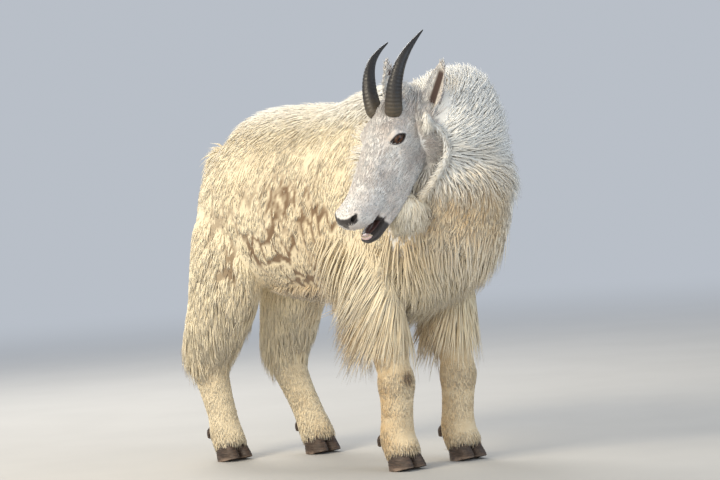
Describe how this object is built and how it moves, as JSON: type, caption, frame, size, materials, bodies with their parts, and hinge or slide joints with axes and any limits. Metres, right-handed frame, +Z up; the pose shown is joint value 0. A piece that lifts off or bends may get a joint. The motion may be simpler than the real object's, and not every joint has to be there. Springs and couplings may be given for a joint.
{
  "type": "mountain goat",
  "caption": "Still, life-size model of a mountain goat standing, its head turned back over its right shoulder, mouth ajar.",
  "frame": {"origin": "on the floor, at the middle of the bounding box of the standing animal", "axes": "+X from rump to chest, +Y to the animal's left, +Z up"},
  "size_m": [0.9906, 0.512, 0.9369],
  "materials": {
    "wool": "long, fluffy to felted cream wool, stained tan on the belly and chest",
    "face": "short flat white hair, black at the nose and lips",
    "leg": "short cream to golden hair, bald brown patch on the knees",
    "horn": "smooth black horn, ringed and olive tan at the base",
    "hoof": "dull dark brown horn",
    "eye": "wet, almost black brown eye",
    "tongue": "moist pinkish white gum and tongue"
  },
  "bodies": {
    "root": {"foreleg_right_hoof": "hoof", "foreleg_right_dewclaw_outer": "hoof", "foreleg_right_dewclaw_inner": "hoof", "foreleg_right_lower": "leg", "foreleg_left_hoof": "hoof", "foreleg_left_dewclaw_outer": "hoof", "foreleg_left_dewclaw_inner": "hoof", "foreleg_left_lower": "leg", "hindleg_right_hoof": "hoof", "hindleg_right_dewclaw_outer": "hoof", "hindleg_right_dewclaw_inner": "hoof", "hindleg_right_lower": "leg", "hindleg_left_hoof": "hoof", "hindleg_left_dewclaw_outer": "hoof", "hindleg_left_dewclaw_inner": "hoof", "hindleg_left_lower": "leg", "eye_right": "eye", "horn_right": "horn", "ear_right": "face", "eye_left": "eye", "horn_left": "horn", "ear_left": "face", "head": "face", "jaw": "face", "tongue": "tongue", "beard": "wool", "tail": "wool", "neck": "wool", "foreleg_right_upper": "wool", "foreleg_left_upper": "wool", "hindleg_right_upper": "wool", "hindleg_left_upper": "wool", "rump": "wool", "barrel": "wool", "shoulders": "wool"}
  },
  "joints": []
}
